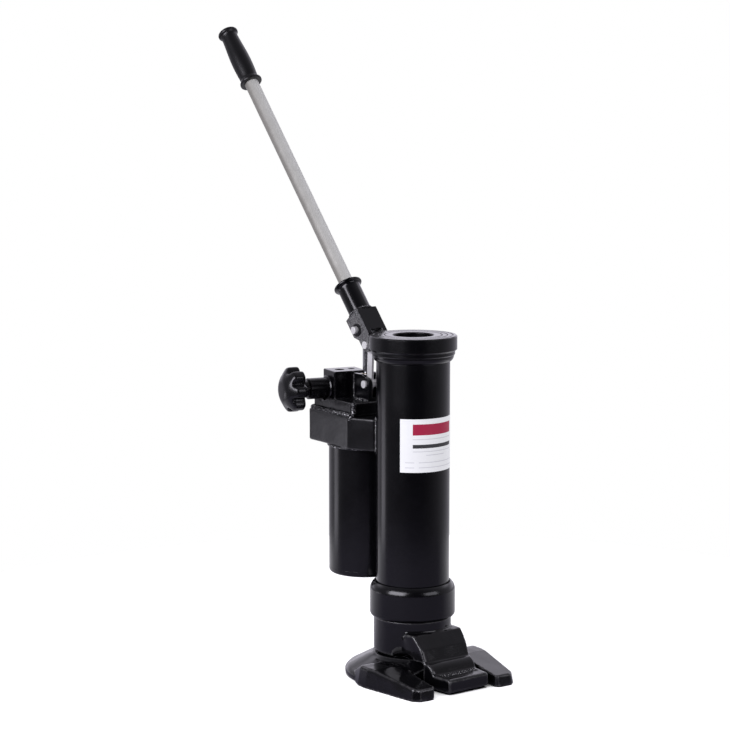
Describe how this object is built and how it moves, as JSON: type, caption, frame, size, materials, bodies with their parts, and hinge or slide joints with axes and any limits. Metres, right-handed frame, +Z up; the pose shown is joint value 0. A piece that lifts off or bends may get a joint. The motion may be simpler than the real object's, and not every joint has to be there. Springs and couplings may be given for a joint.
{
  "type": "hydraulic machine jack",
  "caption": "Black hydraulic machine jack with a low lifting toe, a swivelling forked foot, a round head, a side pump with oil tank, a star release knob and a leaning pump lever",
  "frame": {"origin": "on the axis of the lifting cylinder at the underside of the foot", "axes": "+Z up along the cylinder, -Y towards the lifting toe, +Y towards the pump, +X to the right seen from the toe"},
  "size_m": [0.1827, 0.5346, 0.7945],
  "materials": {
    "cast_black": "semi-gloss black paint over a casting",
    "black_paint": "gloss black paint on machined steel",
    "chrome": "hard chrome, ground",
    "bare_steel": "turned steel",
    "zinc_steel": "zinc plated",
    "dark_steel": "blackened steel",
    "satin_steel": "satin plated tube",
    "brass": "turned",
    "seal_rubber": "smooth rubber",
    "guide_plastic": "filled guide-ring plastic",
    "knob_plastic": "moulded black plastic",
    "grip_plastic": "soft black plastic",
    "white_film": "plain white sticker film"
  },
  "bodies": {
    "foot": {"base_plate": "cast_black"},
    "ram_group": {"ram": "chrome", "piston_head": "bare_steel", "piston_guide_ring": "guide_plastic", "piston_seal": "seal_rubber", "ram_foot_washer": "zinc_steel", "ram_foot_screw": "zinc_steel"},
    "cylinder": {"head_cap": "black_paint", "cylinder_tube": "black_paint", "collar_ring": "black_paint", "label_plate": "white_film", "lifting_toe": "cast_black", "wiper_seal": "seal_rubber", "guide_bush": "brass", "pump_block": "cast_black", "pump_deck": "cast_black", "filler_plug": "zinc_steel", "reservoir_tank": "black_paint", "reservoir_bottom": "black_paint", "pump_barrel": "bare_steel", "plunger_seal": "seal_rubber", "gland_nut": "brass", "suction_seat": "bare_steel", "suction_pipe": "bare_steel", "suction_strainer": "brass", "valve_block": "black_paint", "relief_screw": "dark_steel", "delivery_plug": "dark_steel", "delivery_spring": "bare_steel", "release_sleeve": "black_paint", "fulcrum_clevis": "black_paint", "clevis_pin": "zinc_steel"},
    "link": {"fulcrum_links": "zinc_steel"},
    "lever": {"lever_bracket": "black_paint", "fulcrum_pin": "zinc_steel", "plunger_pin": "zinc_steel", "pin_clips": "dark_steel", "lever_socket": "black_paint", "lever_tube": "satin_steel", "hand_grip": "grip_plastic"},
    "plunger": {"plunger": "chrome"},
    "spindle": {"release_spindle": "bare_steel"},
    "knob": {"star_knob": "knob_plastic"},
    "suction_ball": {"suction_ball": "bare_steel"},
    "delivery_ball": {"delivery_ball": "bare_steel"}
  },
  "joints": [
    {"name": "swivel", "type": "hinge", "parent": "foot", "child": "ram_group", "pos_m": [0, 0, 0], "axis": [0, 0, 1], "range_deg": [-10.9, 3.9]},
    {"name": "lift", "type": "slide", "parent": "ram_group", "child": "cylinder", "axis": [0, 0, 1], "range_m": [0, 0.23]},
    {"name": "link_swing", "type": "hinge", "parent": "cylinder", "child": "link", "pos_m": [0, 0.07813, 0.35137], "axis": [-1, 0, 0], "range_deg": [-7.8, 1.2]},
    {"name": "lever_stroke", "type": "hinge", "parent": "link", "child": "lever", "pos_m": [0, 0.07555, 0.4007], "axis": [-1, 0, 0], "range_deg": [-5, 38]},
    {"name": "plunger_stroke", "type": "slide", "parent": "cylinder", "child": "plunger", "axis": [0, 0, -1], "range_m": [-0.0017, 0.0122]},
    {"name": "spindle_travel", "type": "slide", "parent": "cylinder", "child": "spindle", "axis": [-0.9781, 0.2079, 0], "range_m": [0, 0.00225]},
    {"name": "knob_turn", "type": "hinge", "parent": "spindle", "child": "knob", "pos_m": [-0.02926, 0.13511, 0.342], "axis": [-0.9781, 0.2079, 0], "range_deg": [0, 541]},
    {"name": "suction_lift", "type": "slide", "parent": "cylinder", "child": "suction_ball", "axis": [0, 0, 1], "range_m": [0, 0.002]},
    {"name": "delivery_lift", "type": "slide", "parent": "cylinder", "child": "delivery_ball", "axis": [0, 0, 1], "range_m": [0, 0.0015], "stiffness_N_per_m": 300, "springref_m": -0.001, "deforming": ["delivery_spring"]}
  ],
  "couplings": [
    {"joint": "link_swing", "follows": "lever_stroke", "ratio": -0.2},
    {"joint": "plunger_stroke", "follows": "lever_stroke", "m_per_rad": 0.0181},
    {"joint": "knob_turn", "follows": "spindle_travel", "rad_per_m": 4188.8}
  ]
}
